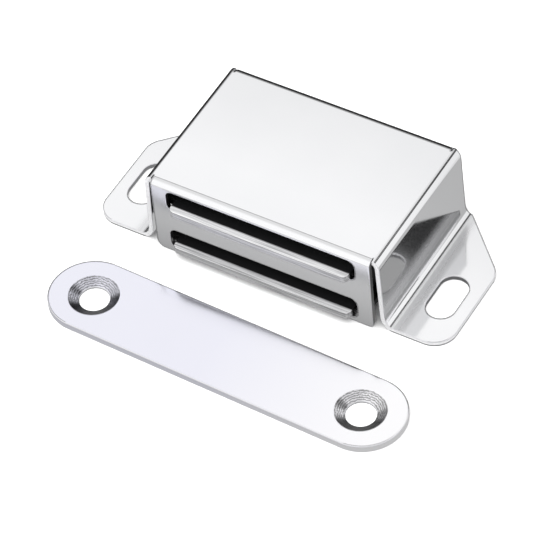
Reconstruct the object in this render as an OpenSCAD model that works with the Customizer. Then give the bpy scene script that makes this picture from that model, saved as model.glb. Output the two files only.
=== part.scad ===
// Magnetic door catch with its strike plate, as the set lies on a table.
// The folded sheet case stands on its ears, the loose strike plate lies flat in front of it.
// Origin: midway between the two screw slots of the ears, on the mounting surface.
// X runs along the catch, the slotted front flap faces -Y, Z is up.

/* [Case] */
// Thickness of the folded sheet
sheet_t = 0.8; // [0.5:0.1:1]
// Length of the case over its side walls, at the top
case_l = 39.5; // [36:0.1:42]
// Depth of the case, from front flap to rear flap
case_d = 26.3; // [20:0.1:34]
// Height of the top face above the mounting surface
case_h = 14.2; // [14.2:0.1:18]
// Outward lean of the side walls, in degrees
wall_lean = 1.9; // [0:0.1:4]
// Inner radius of the folds between the top face and the side walls
fold_r = 0.3; // [0.2:0.1:0.6]
// Inner radius of the flaps' folds
flap_fold_r = 0.6; // [0.3:0.1:0.8]
// Radius between a side wall and its ear
ear_fold_r = 1; // [0.6:0.1:1.6]
// How far the side walls stand back from the flaps' faces
wall_setback = 0.6; // [0.2:0.1:1.2]
// Slit between a flap and the side wall beside it, at the top
flap_slit = 0.35; // [0.2:0.05:0.6]
// Height of the flaps' bottom edges above the mounting surface
flap_lift = 0.1; // [0.1:0.1:0.5]
// Corner radius at the bottom left of the front flap
flap_left_r = 1.4; // [0.5:0.1:3]
// Corner radius at the bottom right of the front flap
flap_right_r = 0.8; // [0.5:0.1:3]
// Length of the return lip along the foot of the rear flap
lip_l = 3; // [2:0.1:4]
// How much shorter the lip is than the flap, at each end
lip_relief = 4; // [2:0.5:8]

/* [Front slots] */
// Length of each front slot
slot_l = 31.8; // [24:0.1:33]
// Height of each front slot
slot_h = 4; // [3.4:0.1:4.4]
// Corner radius of the front slots
slot_r = 1.2; // [0.4:0.1:1.6]
// Height of the lower slot's bottom edge above the mounting surface
slot_z = 0.9; // [0.8:0.1:1.2]
// Height from one slot to the other
slot_rise = 8.2; // [7.8:0.1:8.3]

/* [Ears] */
// Overall length across the ears
span_l = 60; // [58:0.5:68]
// Length of the ears' straight outer edge, corner to corner
ear_edge_l = 16.4; // [14:0.2:20]
// Angle of the ears' slanted rear edge
ear_slant = 45; // [42:1:55]
// Radius of the ears' front corner
ear_front_r = 3.6; // [1:0.1:5]
// Radius between the ears' outer edge and slanted edge
ear_rear_r = 3.5; // [1:0.1:6]
// Radius between the ears' slanted edge and the side walls' rear ends
ear_tail_r = 1.6; // [1:0.1:3]
// Distance of the screw slots' centres from the ears' outer edges
screw_edge = 4.4; // [3.8:0.1:4.6]
// Width of each screw slot
screw_w = 4.6; // [3.6:0.1:4.8]
// Length of each screw slot, end to end
screw_l = 8.6; // [6:0.1:10]
// Distance of the screw slots' centres from the ears' front edge
screw_inset = 9; // [7:0.1:10]

/* [Magnet pack] */
// Thickness of the pole plates
pole_t = 1.2; // [1:0.05:1.4]
// How far the plates' noses stand out of the front flap
nose_out = 1.2; // [0.4:0.1:1.6]
// Clearance between a nose and the rounded corners of its slot
nose_side_gap = 0.1; // [0.1:0.1:1]
// Corner radius of the noses
nose_r = 1; // [0.4:0.1:1.6]
// Width of the shoulder that stops a plate behind the flap
shoulder_w = 2; // [1:0.1:2.2]
// Clearance between the pack and the flaps, front and rear
pack_gap = 0.3; // [0.2:0.05:0.5]
// Height of the plates above the edges that they rest on
rest_gap = 0.1; // [0.05:0.05:0.15]
// Thickness of the magnet
magnet_t = 6.8; // [6.5:0.1:6.9]
// How much narrower the magnet is than the plates, at each end
magnet_side_inset = 1.5; // [0.5:0.1:4]
// How far the magnet stands back from the plates' shoulders
magnet_front_inset = 1.6; // [0.5:0.1:3]
// How far the magnet stands in from the plates' rear edges
magnet_rear_inset = 1.5; // [0.5:0.1:3]

/* [Strike plate] */
// Length of the strike plate, over its round ends
strike_l = 60; // [52:0.5:70]
// Width of the strike plate
strike_w = 13.2; // [11:0.2:16]
// Thickness of the strike plate
strike_t = 1.2; // [1:0.1:2]
// Distance between the two screw holes
hole_pitch = 46; // [38:0.5:46.5]
// Diameter of the screw holes
hole_d = 4.6; // [3.6:0.1:5]
// Diameter of the countersinks at the top face
sink_d = 7.8; // [6.6:0.1:9]
// Length of the straight hole below each countersink
hole_land = 0.3; // [0.2:0.1:0.6]
// Clear distance between the front flap and the strike plate as they lie
lay_gap = 7.8; // [4:0.1:14]
// Sideways place of the strike plate as it lies
lay_x = 1.8; // [-4:0.1:4]
// Turn of the strike plate as it lies, in degrees
lay_turn = -1.85; // [-5:0.05:5]

/* [Hidden] */
$fn = 96;
fold_out = fold_r + sheet_t;
flap_fold_out = flap_fold_r + sheet_t;
overlap = 1;
// Share of its radius by which a corner's arc sits nearer the corner, so that it crosses both sides
arc_shift = 0.001;

front_y = -screw_inset - wall_setback;
rear_y = front_y + case_d;
wall_front_y = front_y + wall_setback;
wall_rear_y = rear_y - wall_setback;

// The side walls lean about the outer corner that top face and wall would meet in
case_half = case_l / 2;
wall_slope = tan(wall_lean);
wall_across = sheet_t / cos(wall_lean);
wall_outer_x = case_half + (case_h - sheet_t) * wall_slope;
wall_inner_x = case_half + case_h * wall_slope - wall_across;
ceiling_x = case_half + sheet_t * wall_slope - wall_across;

flap_half = case_half - sheet_t - flap_slit;
lip_half = flap_half - lip_relief;

ear_corner_y = wall_front_y + ear_edge_l;
ear_reach = span_l / 2;
screw_x = ear_reach - screw_edge;
ear_tail_x = ear_reach - (wall_rear_y - ear_corner_y) / tan(ear_slant);

upper_rest_z = slot_z + slot_rise + rest_gap;
lower_rest_z = upper_rest_z - magnet_t - pole_t;

// Half the length of a slot at the height that a plate's lower face rests at
slot_rest_half = slot_l / 2 - slot_r + sqrt(pow(slot_r, 2) - pow(slot_r - rest_gap, 2));
nose_half = slot_rest_half - nose_side_gap;
plate_half = nose_half + shoulder_w;
plate_front_y = front_y + sheet_t + pack_gap;
plate_rear_y = rear_y - sheet_t - pack_gap;
nose_y = front_y - nose_out;

strike_y = front_y - lay_gap - strike_w / 2;
hole_r = hole_d / 2;
sink_r = sink_d / 2;

function unit(v) = v / norm(v);

// The sliver between a corner of an outline and the arc of radius r that touches both of its sides
module corner_sliver(before, corner, after, r) {
    to_before = unit(before - corner);
    to_after = unit(after - corner);
    half_angle = acos(to_before * to_after) / 2;
    reach = r / tan(half_angle);
    towards_arc = unit(to_before + to_after);
    centre_dist = (1 - arc_shift) * r / sin(half_angle);
    difference() {
        polygon([corner + reach * to_before, corner - r * towards_arc, corner + reach * to_after]);
        translate(corner + centre_dist * towards_arc)
            circle(r = r);
    }
}

// A polygon with rounded corners: a radius above 0 rounds an outer corner, one below 0 fills an inner one
module rounded_outline(points, radii) {
    last = len(points) - 1;
    difference() {
        union() {
            polygon(points);
            for (i = [0 : last])
                if (radii[i] < 0)
                    corner_sliver(points[i == 0 ? last : i - 1], points[i],
                                  points[i == last ? 0 : i + 1], -radii[i]);
        }
        for (i = [0 : last])
            if (radii[i] > 0)
                corner_sliver(points[i == 0 ? last : i - 1], points[i],
                              points[i == last ? 0 : i + 1], radii[i]);
    }
}

// A slot with full round ends, centred, running along Y
module obround(width, length) {
    square([width, length - width], center = true);
    for (end = [-1, 1])
        translate([0, end * (length - width) / 2])
            circle(d = width);
}

// Extrudes an outline drawn in Y and Z along X, over the middle of the part
module across_x(half_width) {
    translate([-half_width, 0, 0])
        rotate([90, 0, 90])
            linear_extrude(2 * half_width)
                children();
}

// Half of the main strip, folded: top face, right side wall, and ear with its slotted screw hole
module half_strip() {
    difference() {
        intersection() {
            translate([0, wall_rear_y + overlap, 0])
                rotate([90, 0, 0])
                    linear_extrude(wall_rear_y - wall_front_y + 2 * overlap)
                        rounded_outline(
                            [[0, case_h], [case_half, case_h], [wall_outer_x, sheet_t],
                             [ear_reach + overlap, sheet_t], [ear_reach + overlap, 0], [wall_inner_x, 0],
                             [ceiling_x, case_h - sheet_t], [0, case_h - sheet_t]],
                            [0, fold_out, -ear_fold_r, 0, 0, ear_fold_r + sheet_t, -fold_r, 0]);
            translate([0, 0, -overlap])
                linear_extrude(case_h + 2 * overlap)
                    rounded_outline(
                        [[-overlap, wall_front_y], [ear_reach, wall_front_y], [ear_reach, ear_corner_y],
                         [ear_tail_x, wall_rear_y], [-overlap, wall_rear_y]],
                        [0, ear_front_r, ear_rear_r, ear_tail_r, 0]);
        }
        translate([screw_x, 0, -overlap])
            linear_extrude(sheet_t + 2 * overlap)
                obround(screw_w, screw_l);
    }
}

// A flap folded down from the top face, its outer face on Y = 0 and facing -Y
module flap(left_r, right_r, foot_z) {
    fold_z = case_h - flap_fold_out;
    translate([0, sheet_t, 0])
        rotate([90, 0, 0])
            linear_extrude(sheet_t)
                rounded_outline(
                    [[-flap_half, foot_z], [flap_half, foot_z], [flap_half, fold_z], [-flap_half, fold_z]],
                    [left_r, right_r, 0, 0]);
    across_x(flap_half)
        rounded_outline(
            [[0, fold_z - overlap], [0, case_h], [flap_fold_out + overlap, case_h],
             [flap_fold_out + overlap, case_h - sheet_t], [sheet_t, case_h - sheet_t], [sheet_t, fold_z - overlap]],
            [0, flap_fold_out, 0, 0, -flap_fold_r, 0]);
}

// The return lip, folded inwards along the foot of a flap
module foot_lip() {
    top_z = flap_lift + flap_fold_out + overlap;
    across_x(lip_half)
        rounded_outline(
            [[0, top_z], [0, flap_lift], [lip_l, flap_lift], [lip_l, flap_lift + sheet_t],
             [sheet_t, flap_lift + sheet_t], [sheet_t, top_z]],
            [0, flap_fold_out, 0, 0, -flap_fold_r, 0]);
}

// The window that a nose stands in, cut through the front flap
module front_slot(bottom_z) {
    half = slot_l / 2;
    translate([0, front_y + sheet_t + overlap, bottom_z])
        rotate([90, 0, 0])
            linear_extrude(sheet_t + 2 * overlap)
                rounded_outline(
                    [[-half, 0], [half, 0], [half, slot_h], [-half, slot_h]],
                    [slot_r, slot_r, slot_r, slot_r]);
}

// One sheet, cut and folded: top face, two flaps, two leaning side walls and two ears
module housing() {
    fold_d = flap_fold_out - wall_setback;
    color([0.86, 0.87, 0.89])
        difference() {
            union() {
                difference() {
                    for (side = [0, 1])
                        mirror([side, 0, 0])
                            half_strip();
                    // The flaps' folds take the place of the flat sheet along the front and rear edges
                    for (edge_y = [wall_front_y - overlap, wall_rear_y - fold_d])
                        translate([-flap_half, edge_y, case_h - flap_fold_out])
                            cube([2 * flap_half, fold_d + overlap, flap_fold_out + overlap]);
                }
                translate([0, front_y, 0])
                    flap(flap_left_r, flap_right_r, flap_lift);
                translate([0, rear_y, 0])
                    mirror([0, 1, 0]) {
                        flap(flap_right_r, flap_right_r, flap_lift + flap_fold_out);
                        foot_lip();
                    }
            }
            front_slot(slot_z);
            front_slot(slot_z + slot_rise);
        }
}

// A pole plate: a nose that fills the slot between its ends, and shoulders that stay behind the flap
module pole_plate(z) {
    translate([0, 0, z])
        linear_extrude(pole_t)
            rounded_outline(
                [[-nose_half, nose_y], [nose_half, nose_y], [nose_half, plate_front_y],
                 [plate_half, plate_front_y], [plate_half, plate_rear_y],
                 [-plate_half, plate_rear_y], [-plate_half, plate_front_y], [-nose_half, plate_front_y]],
                [nose_r, nose_r, 0, 0, nose_r, nose_r, 0, 0]);
}

module upper_pole_plate() {
    color([0.8, 0.81, 0.83])
        pole_plate(upper_rest_z);
}

module lower_pole_plate() {
    color([0.8, 0.81, 0.83])
        pole_plate(lower_rest_z);
}

module magnet() {
    color([0.16, 0.16, 0.17])
        translate([-plate_half + magnet_side_inset, plate_front_y + magnet_front_inset, lower_rest_z + pole_t])
            cube([2 * (plate_half - magnet_side_inset),
                  plate_rear_y - plate_front_y - magnet_front_inset - magnet_rear_inset, magnet_t]);
}

// A strip with full round ends and two countersunk holes
module strike_plate() {
    color([0.9, 0.9, 0.93])
        translate([lay_x, strike_y, 0])
            rotate(lay_turn)
                difference() {
                    linear_extrude(strike_t)
                        rotate(90)
                            obround(strike_w, strike_l);
                    for (side = [-1, 1])
                        translate([side * hole_pitch / 2, 0, 0]) {
                            translate([0, 0, -overlap])
                                cylinder(h = strike_t + 2 * overlap, d = hole_d);
                            translate([0, 0, hole_land])
                                cylinder(h = strike_t - hole_land, r1 = hole_r, r2 = sink_r);
                        }
                }
}

housing();
upper_pole_plate();
lower_pole_plate();
magnet();
strike_plate();
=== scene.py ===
import math

import bmesh
import bpy
from mathutils import Matrix, Vector


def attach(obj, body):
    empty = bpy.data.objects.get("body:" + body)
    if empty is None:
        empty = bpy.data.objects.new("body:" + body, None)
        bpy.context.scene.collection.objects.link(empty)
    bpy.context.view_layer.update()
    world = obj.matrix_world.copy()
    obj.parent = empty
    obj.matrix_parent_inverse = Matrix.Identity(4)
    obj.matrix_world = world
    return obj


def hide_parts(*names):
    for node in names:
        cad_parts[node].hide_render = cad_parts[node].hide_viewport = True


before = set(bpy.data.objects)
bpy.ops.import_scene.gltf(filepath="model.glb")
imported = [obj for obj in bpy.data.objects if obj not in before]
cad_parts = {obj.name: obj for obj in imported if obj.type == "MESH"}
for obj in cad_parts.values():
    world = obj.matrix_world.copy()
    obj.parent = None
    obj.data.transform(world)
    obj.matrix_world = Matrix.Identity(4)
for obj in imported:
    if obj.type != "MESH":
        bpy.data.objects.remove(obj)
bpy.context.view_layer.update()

# Studio
# A pale matt table top under one wide soft light, and a long lens from front right and above.
# The polished sheet mirrors the room around the table, which has lighter and darker parts.
scene = bpy.context.scene
scene.view_settings.view_transform = "Standard"
camera_data = bpy.data.cameras.new("camera")
camera_data.lens = 260.36
camera_data.sensor_width = 36
camera_data.clip_start = 0.05
camera_data.clip_end = 20
camera = bpy.data.objects.new("camera", camera_data)
camera.location = (0.21369, -0.32107, 0.42713)
camera.rotation_euler = (math.radians(41.6233), math.radians(3.9325), math.radians(29.9454))
scene.collection.objects.link(camera)
scene.camera = camera


def feed(node, sockets):
    """Gives each named socket of a shader node a plain value, or a link from another node's output."""
    for socket, value in sockets.items():
        if isinstance(value, bpy.types.NodeSocket):
            node.id_data.links.new(value, node.inputs[socket])
        else:
            node.inputs[socket].default_value = value


def add_node(tree, kind, sockets, **settings):
    """Adds a shader node to a material or to the room, and returns its outputs."""
    node = tree.nodes.new("ShaderNode" + kind)
    for setting, value in settings.items():
        setattr(node, setting, value)
    feed(node, sockets)
    return node.outputs


def new_finish(name):
    """A new material, with its nodes and its main shader."""
    finish = bpy.data.materials.new(name)
    finish.use_nodes = True
    return finish, finish.node_tree, finish.node_tree.nodes["Principled BSDF"]


def ranged(tree, value, start, stop, first=0, last=1, interpolation="LINEAR"):
    """A number that runs from first to last while the given value runs from start to stop."""
    limits = {"Value": value, "From Min": start, "From Max": stop, "To Min": first, "To Max": last}
    return add_node(tree, "MapRange", limits, interpolation_type=interpolation)["Result"]


def along(tree, vector, direction):
    """How far a vector points in a direction."""
    return add_node(tree, "VectorMath", {0: vector, 1: direction}, operation="DOT_PRODUCT")["Value"]


def calc(tree, operation, *values):
    """The result of one sum on plain numbers or on other nodes' outputs."""
    return add_node(tree, "Math", dict(enumerate(values)), operation=operation)["Value"]


# Each part of the room has a direction, the angles at which it starts to fade and ends, and a brightness.
even_grey = 0.85
room_parts = (
    ((0.745, 0.55, 0.376), 25, 45, 1.0),  # pale wall behind on the right
    ((-0.376, -0.745, 0.55), 25, 50, 1.12),  # window in front on the left
    ((-0.376, 0.92, 0.05), 18, 32, 0.04),  # dark corner behind
    ((-0.83, 0.5, 0.05), 18, 32, 0.04),  # its left half
    ((-0.376, 0.85, -0.37), 14, 26, 0.04),  # its foot
    ((-0.75, 0.55, -0.37), 14, 26, 0.04),  # its left foot
    ((-0.376, 0.55, 0.745), 14, 19, 0.3),  # grey frame of the lamp that the top and the strike plate mirror
    ((-0.376, 0.55, 0.745), 9, 13, 1.04),  # white face of that lamp
    ((0.52, 0.55, 0.65), 10.5, 15.5, 0.02),  # dark screen above on the right
    ((-0.1, 0.55, 0.83), 5, 9, 0.95),  # small white reflector beside the lamp
)
world = bpy.data.worlds.new("studio")
scene.world = world
world.use_nodes = True
tree = world.node_tree
direction = add_node(tree, "TexCoord", {})["Generated"]
tone = even_grey
for towards, inner, outer, brightness in room_parts:
    facing = along(tree, direction, Vector(towards).normalized())
    patch = ranged(tree, facing, math.cos(math.radians(outer)), math.cos(math.radians(inner)),
                   interpolation="SMOOTHSTEP")
    tone = add_node(tree, "Mix", {"Factor": patch, "A": tone, "B": brightness})["Result"]
feed(tree.nodes["Background"], {"Color": tone})

softbox = bpy.data.objects.new("softbox", bpy.data.lights.new("softbox", "AREA"))
softbox.data.shape = "DISK"
softbox.data.size = 1.2
softbox.data.energy = 12
softbox.location = (-0.1, -0.2, 1)
softbox.rotation_euler = (math.radians(11), math.radians(-6), 0)
softbox.visible_glossy = False
scene.collection.objects.link(softbox)

# The table is pale to the eye; the sheet mirrors a glowing grey card under it instead, a painted reflection of the
# table.
# Three small glowing grey cards by the right ear show only in the polished wall and fold above it as painted
# reflections; the slot card under the ear's slot glows darker as painted shade.
bm = bmesh.new()
bmesh.ops.create_grid(bm, x_segments=1, y_segments=1, size=3)
table_mesh = bpy.data.meshes.new("table_top")
bm.to_mesh(table_mesh)
bm.free()
table_top = bpy.data.objects.new("table_top", table_mesh)
table_top.location = (0, 0, -0.00002)
table_top.visible_glossy = False
scene.collection.objects.link(table_top)
table_paint, tree, paint = new_finish("table_paint")
feed(paint, {"Base Color": (0.97, 0.97, 0.97, 1), "Roughness": 0.9, "Specular IOR Level": 0})
cards = {}
for name, scale, location, glow in (
    ("mirrored_table", (0.05 / 3, 0.04 / 3, 1), (0.02, -0.01, -0.00004), 1),
    ("high_card", (0.0027, 0.0075, 1), (0.0685, 0.0375, 0.072), 0.4),
    ("low_card", (0.0003, 0.004, 1), (0.0277, 0.021, 0.025), 0.3),
    ("slot_shade_card", (0.0008, 0.0015, 1), (0.0256, 0, 0.00005), 0.34),
):
    card = bpy.data.objects.new(name, table_mesh.copy())
    card.scale = scale
    card.location = location
    card.visible_camera = False
    card.visible_diffuse = False
    card.visible_shadow = False
    card.visible_transmission = False
    card_paint, tree, paint = new_finish(name + "_paint")
    feed(paint, {"Base Color": (0, 0, 0, 1), "Specular IOR Level": 0})
    feed(paint, {"Emission Color": (glow, glow, glow, 1), "Emission Strength": 1})
    card.data.materials.append(card_paint)
    scene.collection.objects.link(card)
    cards[name] = paint
table_mesh.materials.append(table_paint)

# In front of the flap the mirrored table carries a painted shade of the case, so it gets lighter with the distance
# from the flap.
flap_shadow_y = -0.0096
mirrored = cards["mirrored_table"]
tree = mirrored.id_data
spot = add_node(tree, "SeparateXYZ", {"Vector": add_node(tree, "NewGeometry", {})["Position"]})
shade_near_flap = ranged(tree, spot["Y"], flap_shadow_y, -0.016, 0.38, 0.56)
behind_flap = calc(tree, "GREATER_THAN", spot["Y"], flap_shadow_y)
table_glow = add_node(tree, "Mix", {"Factor": behind_flap, "A": shade_near_flap, "B": 0.54})["Result"]
feed(mirrored, {"Emission Strength": table_glow})

# Case
# One blank of polished stainless sheet, 0.8 mm thick, folded into a box that is open underneath.
# Its sides end in ears with slotted screw holes, and its flaps hang from the front and rear folds.
# Here the outer skin is folded edge by edge, then it gets its thickness and broken edges.
mm = 0.001
hair = 1e-7  # two points that are nearer than this are at the same place
sheet = 0.8 * mm
case_top = 14.2 * mm
fold_x = 18.57 * mm
flap_x = 18.42 * mm
fold_front_y = -8.2 * mm
fold_rear_y = 15.3 * mm
wall_front_y = -9.0 * mm
wall_rear_y = 16.1 * mm
lean = math.radians(1.9)
ear_x = 30 * mm
# Each bend is a row of arcs: radius in millimetres, angle in degrees, and number of steps.
side_fold = ((0.82, 38, 4), (1.862, 50.1, 12))
ear_fold = ((5, 10, 4), (1.9, 40, 10), (0.9, 38.1, 5))


def at(point):
    """The vertices of the blank that lie on every given coordinate of the point."""
    return [v for v in bm.verts if all(c is None or abs(v.co[i] - c) < hair for i, c in enumerate(point))]


def edges_at(point):
    """The blank's edges with both ends on the given coordinates."""
    found = set(at(point))
    return [e for e in bm.edges if set(e.verts) <= found]


def fold(edges, centre, axis, angle, steps=12):
    """Bends the sheet onwards from these edges, and returns the edges at the end of the bend."""
    ends = list({v for e in edges for v in e.verts})
    result = bmesh.ops.spin(bm, geom=ends + edges, cent=centre, axis=axis, angle=angle, steps=steps)
    return [g for g in result["geom_last"] if isinstance(g, bmesh.types.BMEdge)]


def lengthen(edges, offset):
    """Draws the sheet straight onwards from these edges, and returns the edges at its end."""
    result = bmesh.ops.extrude_edge_only(bm, edges=edges)
    ends = [g for g in result["geom"] if isinstance(g, bmesh.types.BMVert)]
    bmesh.ops.translate(bm, verts=ends, vec=offset)
    return [g for g in result["geom"] if isinstance(g, bmesh.types.BMEdge) and set(g.verts) <= set(ends)]


bm = bmesh.new()
bmesh.ops.create_grid(bm, x_segments=3, y_segments=1, size=1)
# The outer columns of the grid are the side folds, and the inner ones are the sides of the flaps.
columns = {-1: -fold_x, 1: fold_x}
for v in bm.verts:
    v.co.x = columns.get(round(v.co.x), math.copysign(flap_x, v.co.x))
    v.co.y = fold_rear_y if v.co.y > 0 else fold_front_y
    v.co.z = case_top
for side in (1, -1):
    # The side walls are a little longer than the top, so the blank reaches out at its corners.
    for y, reach in ((fold_front_y, wall_front_y), (fold_rear_y, wall_rear_y)):
        tip = bmesh.ops.extrude_vert_indiv(bm, verts=at((side * fold_x, y, case_top)))["verts"]
        bmesh.ops.translate(bm, verts=tip, vec=(0, reach - y, 0))
    edge = edges_at((side * fold_x, None, case_top))
    slope = 0
    for radius, angle, steps in side_fold:
        end = edge[0].verts[0].co
        centre = (end.x - side * radius * mm * math.sin(slope), 0, end.z - radius * mm * math.cos(slope))
        edge = fold(edge, centre, (0, side, 0), math.radians(angle), steps)
        slope += math.radians(angle)
    bend_z = 0
    steep = math.radians(90) - lean
    for radius, angle, steps in ear_fold:
        bend_z += radius * mm * (math.cos(steep - math.radians(angle)) - math.cos(steep))
        steep -= math.radians(angle)
    drop = edge[0].verts[0].co.z - sheet - bend_z
    edge = lengthen(edge, (side * drop * math.tan(lean), 0, -drop))
    steep = math.radians(90) - lean
    for radius, angle, steps in ear_fold:
        end = edge[0].verts[0].co
        centre = (end.x + side * radius * mm * math.sin(steep), 0, end.z + radius * mm * math.cos(steep))
        edge = fold(edge, centre, (0, -side, 0), math.radians(angle), steps)
        steep -= math.radians(angle)
    lengthen(edge, (side * ear_x - edge[0].verts[0].co.x, 0, 0))
# The fold lines of the flaps don't run on into the walls and ears, so they are taken out there.
rows = [e for y in (fold_front_y, fold_rear_y) for e in edges_at((None, y, None))
        if abs(e.verts[0].co.x + e.verts[1].co.x) > 2 * fold_x + 1e-6]
bmesh.ops.dissolve_edges(bm, edges=rows, use_verts=True)

# Ears
# Each ear is rounded at the front, slanted at the rear and punched with a slot for a 4 mm screw.
# The shears that trim it run on a little way into the fold and the side wall behind it.
screw_slot_x = 25.6 * mm
screw_slot_reach = 2.0 * mm
kept_strip = 0.3 * mm
punched_slot = 3


def with_edges(faces):
    """The faces together with their edges and vertices."""
    return faces + list({e for f in faces for e in f.edges}) + list({v for f in faces for v in f.verts})


def trim_corner(faces_in, centre, radius, start, stop, plane_axes, steps):
    """Rounds an outer corner of flat or folded sheet with straight cuts along the tangents of its arc."""
    for i in range(steps + 1):
        a = math.radians(start + (stop - start) * i / steps)
        outwards = Vector((0, 0, 0))
        outwards[plane_axes[0]] = math.cos(a)
        outwards[plane_axes[1]] = math.sin(a)
        geom = with_edges([f for f in bm.faces if faces_in(f.calc_center_median())])
        bmesh.ops.bisect_plane(bm, geom=geom, plane_co=Vector(centre) + radius * outwards, plane_no=outwards,
                               clear_outer=True, dist=hair)


def punch(faces, slots, normal, slot_border, top=math.inf):
    """Punches slots through a flat part of the sheet, and keeps an even strip along every edge of it.

    The strip along a top edge can be narrower, up to the given height.
    """
    normal = Vector(normal)
    blank = bmesh.ops.dissolve_faces(bm, faces=faces)["region"] if len(faces) > 1 else faces
    bmesh.ops.inset_region(bm, faces=blank, thickness=kept_strip, use_even_offset=True, use_boundary=True)
    level = blank[0].verts[0].co.dot(normal)
    for v in blank[0].verts:
        v.co -= (v.co.dot(normal) - level) * normal
        if v.co.z > top - kept_strip:
            v.co.z = top
    cuts = list(blank[0].edges)
    for slot in slots:
        strip = bmesh.ops.inset_region(bm, faces=[slot], thickness=slot_border, use_even_offset=True,
                                       use_boundary=True)["faces"]
        cuts += [e for f in strip for e in f.edges if len(e.link_faces) == 1]
        for f in strip:
            f.material_index = punched_slot
    bmesh.ops.delete(bm, geom=blank + slots, context="FACES_ONLY")
    bmesh.ops.triangle_fill(bm, use_beauty=True, use_dissolve=False, edges=cuts, normal=normal)


for side in (1, -1):
    on_side = lambda c, side=side: c.x * side > fold_x
    turned = lambda angle, side=side: angle if side > 0 else 180 - angle
    trim_corner(on_side, (side * 26.4 * mm, -5.4 * mm, 0), 3.6 * mm, turned(-82.5), turned(-7.5), (0, 1), 10)
    trim_corner(on_side, (side * 26.5 * mm, 5.95 * mm, 0), 3.5 * mm, turned(7.5), turned(45), (0, 1), 5)
    flat_part = [f for f in bm.faces if all(abs(v.co.z - sheet) < hair for v in f.verts)]
    ear = [f for f in flat_part if on_side(f.calc_center_median())]
    # The slot starts as a circle, drawn with the kept strip around it, and its halves are moved apart.
    circle = bmesh.ops.create_circle(bm, cap_ends=True, segments=48, radius=2.6 * mm,
                                     matrix=Matrix.Rotation(math.radians(3.75), 4, "Z"))["verts"]
    for v in circle:
        v.co += Vector((side * screw_slot_x, math.copysign(screw_slot_reach, v.co.y), sheet))
    punch(ear, [circle[0].link_faces[0]], (0, 0, 1), kept_strip)

# Front flap
# It is folded down at the front and punched with two wide slots, one above the other.
# Its lower left corner is cut with a larger radius than the right one.
front_y = -9.6 * mm
bend_r = 1.4 * mm
flat_z = 13.25 * mm
flap_foot = 0.1 * mm
right_r = 0.8 * mm
left_r = 1.4 * mm
edge = [e for e in edges_at((None, fold_front_y, case_top)) if e.calc_length() > 2 * flap_x - 1e-6]
edge = fold(edge, (0, fold_front_y, case_top - bend_r), (1, 0, 0), math.radians(90))
# The bend is pressed a little flat, so that the upper slot lies wholly in the flat part.
squeeze = (case_top - flat_z) / bend_r
for v in bm.verts:
    if v.co.y < fold_front_y - hair and abs(v.co.x) < flap_x + hair:
        v.co.z = case_top - (case_top - v.co.z) * squeeze
lengthen(edge, (0, 0, flap_foot - flat_z))
in_front = lambda c: abs(c.x) < flap_x and abs(c.y - front_y) < hair and c.z < flat_z
trim_corner(in_front, (flap_x - right_r, front_y, 0.9 * mm), right_r, -82.5, -7.5, (0, 2), 5)
trim_corner(in_front, (left_r - flap_x, front_y, 1.5 * mm), left_r, 187.5, 262.5, (0, 2), 5)
flap = [f for f in bm.faces if in_front(f.calc_center_median())]
# Each slot is 31.8 by 4 mm, drawn with the strip of 0.12 mm that is kept around it.
windows = []
for foot in (0.9, 9.1):
    window = bmesh.ops.create_grid(bm, x_segments=1, y_segments=1, size=0.5)["verts"]
    for v in window:
        v.co = Vector((v.co.x * 32.04 * mm, front_y, (v.co.y * 4.24 + foot + 2) * mm))
    rounded = bmesh.ops.bevel(bm, geom=window, offset=1.32 * mm, offset_type="OFFSET", segments=10, profile=0.5,
                              affect="VERTICES", material=-1)["verts"]
    windows.append(rounded[0].link_faces[0])
punch(flap, windows, (0, -1, 0), 0.12 * mm, flat_z - 0.01 * mm)

# Rear flap
# It hangs from the rear fold, and a narrower lip along its foot is folded inwards under the magnet pack.
rear_y = 16.7 * mm
lip_x = 14.5 * mm
lip_z = 1.5 * mm
edge = [e for e in edges_at((None, fold_rear_y, case_top)) if e.calc_length() > 2 * flap_x - 1e-6]
edge = fold(edge, (0, fold_rear_y, case_top - bend_r), (-1, 0, 0), math.radians(90))
lengthen(edge, (0, 0, -11.3 * mm))
at_rear = lambda c: abs(c.y - rear_y) < hair
trim_corner(at_rear, (flap_x - right_r, rear_y, 2.3 * mm), right_r, -82.5, -7.5, (0, 2), 5)
trim_corner(at_rear, (right_r - flap_x, rear_y, 2.3 * mm), right_r, 187.5, 262.5, (0, 2), 5)
for x in (-lip_x, lip_x):
    geom = with_edges([f for f in bm.faces if at_rear(f.calc_center_median())])
    bmesh.ops.bisect_plane(bm, geom=geom, plane_co=(x, 0, 0), plane_no=(1, 0, 0), dist=hair)
edge = [e for e in edges_at((None, rear_y, lip_z)) if all(abs(v.co.x) < lip_x + 0.1 * mm for v in e.verts)]
edge = fold(edge, (0, fold_rear_y, lip_z), (-1, 0, 0), math.radians(90))
lengthen(edge, (0, -1.6 * mm, 0))

# The skin is complete: it is closed up, turned outwards and thickened inwards.
# Then the points that crowd in the tight folds are joined, and every sheared edge is broken a little.
smallest = 0.015 * mm
bmesh.ops.remove_doubles(bm, verts=bm.verts, dist=smallest)
bmesh.ops.recalc_face_normals(bm, faces=bm.faces)
top_face = max(bm.faces, key=lambda f: f.calc_center_median().z)
if top_face.normal.z < 0:
    bmesh.ops.reverse_faces(bm, faces=bm.faces)
for f in bm.faces:
    f.smooth = True
rounding = bm.edges.layers.float.new("bevel_weight_edge")
for e in bm.edges:
    e[rounding] = float(e.is_boundary)
case_mesh = bpy.data.meshes.new("case")
bm.to_mesh(case_mesh)
bm.free()
case = bpy.data.objects.new("case", case_mesh)
scene.collection.objects.link(case)
thicken = case.modifiers.new("sheet", "SOLIDIFY")
thicken.thickness = sheet
thicken.offset = -1
thicken.use_even_offset = True
thicken.material_offset_rim = 1
tight = case.modifiers.new("tight_folds", "WELD")
tight.merge_threshold = smallest
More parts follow.
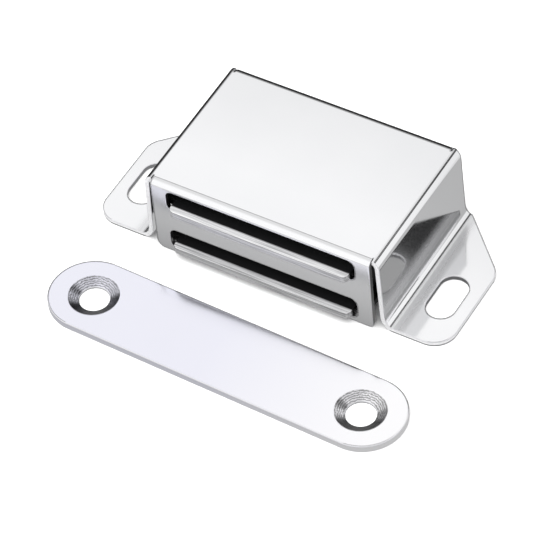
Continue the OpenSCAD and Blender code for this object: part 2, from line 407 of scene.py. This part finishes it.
broken = case.modifiers.new("broken_edges", "BEVEL")
broken.width = 0.07 * mm
broken.material = 2
broken.segments = 3
broken.limit_method = "WEIGHT"
broken.use_clamp_overlap = False
broken.loop_slide = False
flats = case.modifiers.new("flats", "WEIGHTED_NORMAL")
flats.keep_sharp = False


def noise(tree, vector, scale, detail):
    """Fine irregular cloud or grain over the surface."""
    return add_node(tree, "TexNoise", {"Vector": vector, "Scale": scale, "Detail": detail})["Fac"]


def ramp(tree, value, *stops):
    """A colour that goes from stop to stop with the value; each stop is a position and a colour."""
    node = tree.nodes.new("ShaderNodeValToRGB")
    marks = node.color_ramp.elements
    for mark, (position, colour) in zip(marks, (stops[0], stops[-1])):
        mark.position = position
        mark.color = (*colour, 1)
    for position, colour in stops[1:-1]:
        marks.new(position).color = (*colour, 1)
    feed(node, {"Fac": value})
    return node.outputs["Color"]


def scaled(tree, colour, factor):
    """The colour made lighter or darker by a factor."""
    return add_node(tree, "VectorMath", {0: colour, "Scale": factor}, operation="SCALE")["Vector"]


# Polished face: slightly cloudy, with painted shade that makes it deeper in tone towards the rear and a little
# lighter at the front.
# A thin line of painted shade follows the rolled folds where they turn to the rear left.
rear_left = (-0.45, 0.89, 0)
polished, tree, steel = new_finish("polished_sheet")
place = add_node(tree, "TexCoord", {})["Object"]
spot = add_node(tree, "SeparateXYZ", {"Vector": place})
tint = ramp(tree, noise(tree, place, 60, 4), (0, (0.82, 0.825, 0.84)), (1, (0.9, 0.9, 0.91)))
rear_shaded_tint = scaled(tree, tint, ranged(tree, spot["Y"], -2 * mm, 16 * mm, 1.04, 0.94))
rolled = add_node(tree, "Bevel", {"Radius": 0.45 * mm}, samples=6)["Normal"]
flat = add_node(tree, "NewGeometry", {})["Normal"]
tipped = add_node(tree, "VectorMath", {0: rolled, 1: flat}, operation="SUBTRACT")["Vector"]
rolled_shade_line = ranged(tree, along(tree, tipped, rear_left), 0.04, 0.14, 1, 0.02)

# Its gloss has a fine rolled grain, and is duller just past the crease of each ear and on the front flap.
rolling = add_node(tree, "Mapping", {"Vector": place, "Scale": (300, 9000, 9000)})["Vector"]
gloss = ranged(tree, noise(tree, rolling, 1, 3), 0, 1, 0.06, 0.12)
from_middle = calc(tree, "ABSOLUTE", spot["X"])
past_crease = ranged(tree, from_middle, 20.7 * mm, 21.1 * mm, 0, 0.3)
fading = ranged(tree, from_middle, 24 * mm, 22 * mm)
creased = calc(tree, "MAXIMUM", calc(tree, "MULTIPLY", past_crease, fading), gloss)
brushed = ranged(tree, spot["Y"], -9.4 * mm, -9.59 * mm, 0, 0.2)
feed(steel, {"Base Color": scaled(tree, rear_shaded_tint, rolled_shade_line), "Metallic": 1})
feed(steel, {"Roughness": calc(tree, "MAXIMUM", creased, brushed)})

# Sheared edges: painted shade darkens them along their foot and in the slits between the flaps and the side walls.
sheared, tree, steel = new_finish("sheared_edge")
place = add_node(tree, "TexCoord", {})["Object"]
spot = add_node(tree, "SeparateXYZ", {"Vector": place})
bite = ramp(tree, noise(tree, place, 2500, 3), (0, (0.62, 0.62, 0.63)), (1, (0.9, 0.9, 0.91)))
shaded_foot = ranged(tree, spot["Z"], 0.22 * mm, 0.3 * mm, 0.12, 1)
turned_to = add_node(tree, "SeparateXYZ", {"Vector": add_node(tree, "NewGeometry", {})["True Normal"]})
sideways = calc(tree, "ABSOLUTE", turned_to["X"])
at_slit = calc(tree, "COMPARE", calc(tree, "ABSOLUTE", spot["X"]), 18.6 * mm, 0.25 * mm)
slit_shade = ranged(tree, calc(tree, "MULTIPLY", sideways, at_slit), 0.5, 1, 1, 0.15)
edge_tone = calc(tree, "MULTIPLY", shaded_foot, slit_shade)
feed(steel, {"Base Color": scaled(tree, bite, edge_tone), "Metallic": 0.3, "Roughness": 0.4})

# Broken edges: a painted highlight where they turn to the front right, and painted shade with dark nicks where they
# turn to the rear left.
burr, tree, steel = new_finish("edge_burr")
place = add_node(tree, "TexCoord", {})["Object"]
nicks_and_shade = ramp(tree, noise(tree, place, 900, 2), (0.35, (0.03, 0.03, 0.033)), (0.7, (0.25, 0.25, 0.26)))
turned_to = add_node(tree, "NewGeometry", {})["True Normal"]
far_side = ranged(tree, along(tree, turned_to, rear_left), -0.05, 0.05)
burr_light_and_shade = {"Factor": far_side, "A": (0.85, 0.85, 0.88, 1), "B": nicks_and_shade}
feed(steel, {"Base Color": add_node(tree, "Mix", burr_light_and_shade, data_type="RGBA")["Result"]})
feed(steel, {"Metallic": 1, "Roughness": 0.3})

# Walls of the punched slots: rough and scarred, and painted darker than the face as the shade inside the slots.
torn, tree, steel = new_finish("punched_wall")
place = add_node(tree, "TexCoord", {})["Object"]
scars_and_shade = ramp(tree, noise(tree, place, 1600, 3), (0, (0.2, 0.2, 0.21)), (1, (0.5, 0.5, 0.51)))
feed(steel, {"Base Color": scars_and_shade, "Metallic": 1, "Roughness": 0.35})

# A rim of the sheet takes the material that comes after its face's own: sheared_edge after the face, and
# punched_wall after the strip around a slot, which is the second polished_sheet.
for finish in (polished, sheared, burr, polished, torn):
    case_mesh.materials.append(finish)
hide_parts("housing")
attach(case, "case")

# Pole plates
# Two mild steel plates carry the magnet's pull to their noses, which stand out of the front slots.
# The noses are ground bright, and the rest of each plate is painted near black as the shade inside the case.
nose_y = -10.8 * mm
plate_front_y = -8.5 * mm
plate_rear_y = 15.6 * mm
nose_x = 15.0796 * mm
plate_x = 17.0796 * mm
plate_t = 1.2 * mm
bright_plate, tree, steel = new_finish("pole_plate_steel")
place = add_node(tree, "TexCoord", {})["Object"]
spot = add_node(tree, "SeparateXYZ", {"Vector": place})
behind = ranged(tree, spot["Y"], -9.75 * mm, -9.55 * mm)
inner_shade = ramp(tree, behind, (0, (1, 1, 1)), (1, (0.007, 0.007, 0.008)))
grinding = add_node(tree, "Mapping", {"Vector": place, "Scale": (120, 5000, 5000)})["Vector"]
ground = ramp(tree, noise(tree, grinding, 1, 3), (0.3, (0.4, 0.4, 0.41)), (0.6, (0.85, 0.85, 0.86)))
# Painted shade: a dark line along the rounded edges where each nose turns from its top to its front.
turned_to = add_node(tree, "SeparateXYZ", {"Vector": add_node(tree, "NewGeometry", {})["Normal"]})
nose_shade_line = ramp(tree, turned_to["Z"], (0.15, (0.95, 0.95, 0.95)), (0.3, (0.25, 0.25, 0.25)),
                 (0.75, (0.25, 0.25, 0.25)), (0.9, (0.9, 0.9, 0.9)))
lined = add_node(tree, "VectorMath", {0: ground, 1: nose_shade_line}, operation="MULTIPLY")["Vector"]
nose_tint = add_node(tree, "VectorMath", {0: lined, 1: inner_shade}, operation="MULTIPLY")["Vector"]
# Painted highlight: the faces that look up are made less metallic, so they show lighter.
feed(steel, {"Base Color": nose_tint, "Metallic": ranged(tree, turned_to["Z"], 0.3, 0.9, 0.9, 0.2)})
feed(steel, {"Roughness": ranged(tree, behind, 0, 1, 0.4, 0.7)})
for name, rest_z in (("upper_pole_plate", 9.2 * mm), ("lower_pole_plate", 1.2 * mm)):
    # A grid of three by two squares becomes the plate, and the squares beside its nose are cut away.
    bm = bmesh.new()
    bmesh.ops.create_grid(bm, x_segments=3, y_segments=2, size=1)
    for v in bm.verts:
        v.co.x = math.copysign(plate_x if abs(v.co.x) > 0.9 else nose_x, v.co.x)
        v.co.y = {-1: nose_y, 0: plate_front_y, 1: plate_rear_y}[round(v.co.y)]
        v.co.z = rest_z
    beside_nose = lambda c: c.y < plate_front_y and abs(c.x) > nose_x
    shoulders = [f for f in bm.faces if beside_nose(f.calc_center_median())]
    bmesh.ops.delete(bm, geom=shoulders, context="FACES")
    bmesh.ops.dissolve_faces(bm, faces=bm.faces)
    corners = [v for v in bm.verts if v.co.y < nose_y + hair or v.co.y > plate_rear_y - hair]
    corners = [v for v in corners if abs(v.co.x) > nose_x - hair and (v.co.y < 0 or abs(v.co.x) > plate_x - hair)]
    bmesh.ops.bevel(bm, geom=corners, offset=1 * mm, offset_type="OFFSET", segments=8, profile=0.5,
                    affect="VERTICES", material=-1)
    raised = bmesh.ops.extrude_face_region(bm, geom=list(bm.faces))["geom"]
    bmesh.ops.translate(bm, verts=[g for g in raised if isinstance(g, bmesh.types.BMVert)], vec=(0, 0, plate_t))
    bmesh.ops.recalc_face_normals(bm, faces=bm.faces)
    for f in bm.faces:
        f.smooth = True
    plate_mesh = bpy.data.meshes.new(name + "_steel")
    bm.to_mesh(plate_mesh)
    bm.free()
    plate = bpy.data.objects.new(name + "_steel", plate_mesh)
    scene.collection.objects.link(plate)
    worn = plate.modifiers.new("broken_edges", "BEVEL")
    worn.width = 0.12 * mm
    worn.segments = 3
    worn.limit_method = "ANGLE"
    worn.angle_limit = math.radians(40)
    worn.loop_slide = False
    plate.modifiers.new("flats", "WEIGHTED_NORMAL")
    plate_mesh.materials.append(bright_plate)
    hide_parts(name)
    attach(plate, "magnet_pack")

# Magnet
# A sintered ferrite block held between the pole plates by its own pull.
# It is matt charcoal with a fine grain.
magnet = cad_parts["magnet"]
ferrite, tree, block = new_finish("ferrite_block")
place = add_node(tree, "TexCoord", {})["Object"]
sinter = ramp(tree, noise(tree, place, 1800, 5), (0, (0.012, 0.012, 0.013)), (1, (0.045, 0.045, 0.048)))
feed(block, {"Base Color": sinter, "Roughness": 0.75})
magnet.data.materials.clear()
magnet.data.materials.append(ferrite)

# Strike plate
# A stainless strip with round ends, punched, countersunk and tumbled.
# Each countersink keeps the fine rings of the tool that turned it.
strike_t = 1.2 * mm
strike_r = 6.6 * mm
end_x = 23.4 * mm
screw_x = 23 * mm
hole_r = 2.3 * mm
sink_r = 3.9 * mm
sink_depth = 0.9 * mm
lies_at = (1.8 * mm, -24.0 * mm, 0)
lies_turned = math.radians(-1.85)
edge_strip = 0.4 * mm
strike = bpy.data.objects.new("strike_strip", bpy.data.meshes.new("strike_strip"))
scene.collection.objects.link(strike)
bm = bmesh.new()
outline = bmesh.ops.create_circle(bm, cap_ends=True, segments=96, radius=strike_r,
                                  matrix=Matrix.Rotation(math.radians(1.875), 4, "Z"))["verts"]
for v in outline:
    v.co.x += math.copysign(end_x, v.co.x)
strip_face = outline[0].link_faces[0]
bmesh.ops.inset_region(bm, faces=[strip_face], thickness=edge_strip, use_even_offset=True, use_boundary=True)
cuts = list(strip_face.edges)
waste = [strip_face]
for x in (-screw_x, screw_x):
    ring = bmesh.ops.create_circle(bm, cap_ends=True, segments=64, radius=sink_r + edge_strip,
                                   matrix=Matrix.Translation((x, 0, 0)))["verts"]
    hole = ring[0].link_faces[0]
    strip = bmesh.ops.inset_region(bm, faces=[hole], thickness=edge_strip, use_even_offset=True,
                                   use_boundary=True)["faces"]
    cuts += [e for f in strip for e in f.edges if len(e.link_faces) == 1]
    bmesh.ops.inset_region(bm, faces=[hole], thickness=sink_r - hole_r, use_even_offset=True, use_boundary=True)
    waste.append(hole)
bmesh.ops.delete(bm, geom=waste, context="FACES_ONLY")
bmesh.ops.triangle_fill(bm, use_beauty=True, use_dissolve=False, edges=cuts, normal=(0, 0, 1))
raised = bmesh.ops.extrude_face_region(bm, geom=list(bm.faces))["geom"]
raised = [g for g in raised if isinstance(g, bmesh.types.BMVert)]
bmesh.ops.translate(bm, verts=raised, vec=(0, 0, strike_t))
sunk = [v for v in raised if math.hypot(abs(v.co.x) - screw_x, v.co.y) < hole_r + 0.1 * mm]
bmesh.ops.translate(bm, verts=sunk, vec=(0, 0, -sink_depth))
bmesh.ops.rotate(bm, verts=bm.verts, cent=(0, 0, 0), matrix=Matrix.Rotation(lies_turned, 3, "Z"))
bmesh.ops.translate(bm, verts=bm.verts, vec=lies_at)
bmesh.ops.recalc_face_normals(bm, faces=bm.faces)
for f in bm.faces:
    f.smooth = True
# The rim of each countersink stays a crisp line.
for e in bm.edges:
    if len(e.link_faces) == 2 and math.radians(20) < e.calc_face_angle() < math.radians(40):
        e.smooth = False
bm.to_mesh(strike.data)
bm.free()
tumbled = strike.modifiers.new("tumbled_edges", "BEVEL")
tumbled.width = 0.12 * mm
tumbled.segments = 3
tumbled.material = 1
tumbled.limit_method = "ANGLE"
tumbled.angle_limit = math.radians(50)
tumbled.loop_slide = False
flats = strike.modifiers.new("flats", "WEIGHTED_NORMAL")
flats.keep_sharp = True

# Tumbled face: a faint blue cast, a painted highlight that makes it paler to the right, and a thin line of painted
# shade along its rear edge.
strip_steel, tree, steel = new_finish("strike_steel")
place = add_node(tree, "TexCoord", {})["Object"]
spot = add_node(tree, "SeparateXYZ", {"Vector": place})
cloud = noise(tree, place, 80, 4)
tint = ramp(tree, cloud, (0, (0.81, 0.81, 0.89)), (1, (0.86, 0.86, 0.94)))
paler_right_highlight = {"Factor": ranged(tree, spot["X"], 0, 28 * mm), "A": tint, "B": (0.96, 0.955, 0.97, 1)}
face_tint = add_node(tree, "Mix", paler_right_highlight, data_type="RGBA")["Result"]
rolled = add_node(tree, "Bevel", {"Radius": 0.35 * mm}, samples=6)["Normal"]
shade_outlined = scaled(tree, face_tint, ranged(tree, along(tree, rolled, rear_left), 0.03, 0.3, 1, 0.12))

# The tool's rings lie round both holes, so one half of the strip is folded over the other to place them.
strip_place = {"Vector": place, "Location": lies_at, "Rotation": (0, 0, lies_turned)}
lengthwise = add_node(tree, "Mapping", strip_place, vector_type="TEXTURE")["Vector"]
folded_half = add_node(tree, "VectorMath", {0: lengthwise}, operation="ABSOLUTE")["Vector"]
from_hole = add_node(tree, "VectorMath", {0: folded_half, 1: (screw_x, 0, 0)}, operation="SUBTRACT")["Vector"]
level = add_node(tree, "VectorMath", {0: from_hole, 1: (1, 1, 0)}, operation="MULTIPLY")["Vector"]
reach = add_node(tree, "VectorMath", {0: level}, operation="LENGTH")["Value"]
turned_part = ranged(tree, reach, sink_r - 0.02 * mm, sink_r - 0.04 * mm, 0, 0.7)
wobble = {"Distortion": 7, "Detail": 3, "Detail Scale": 2, "Detail Roughness": 0.7}
rings = add_node(tree, "TexWave", {"Vector": level, "Scale": 1100, **wobble}, wave_type="RINGS",
                 rings_direction="Z")["Fac"]
# The tool's rings, with painted shade that darkens each countersink as a whole.
rings_and_shade = add_node(tree, "Mix", {"Factor": turned_part, "A": 1, "B": ranged(tree, rings, 0, 1, 0, 0.9)})["Result"]
tool_marks = {"Strength": turned_part, "Distance": 0.012 * mm, "Height": rings}
feed(steel, {"Base Color": scaled(tree, shade_outlined, rings_and_shade), "Metallic": 1})
feed(steel, {"Roughness": ranged(tree, cloud, 0, 1, 0.1, 0.16)})
feed(steel, {"Normal": add_node(tree, "Bump", tool_marks)["Normal"]})
strike.data.materials.append(strip_steel)
strike.data.materials.append(burr)
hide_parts("strike_plate")
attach(strike, "case")
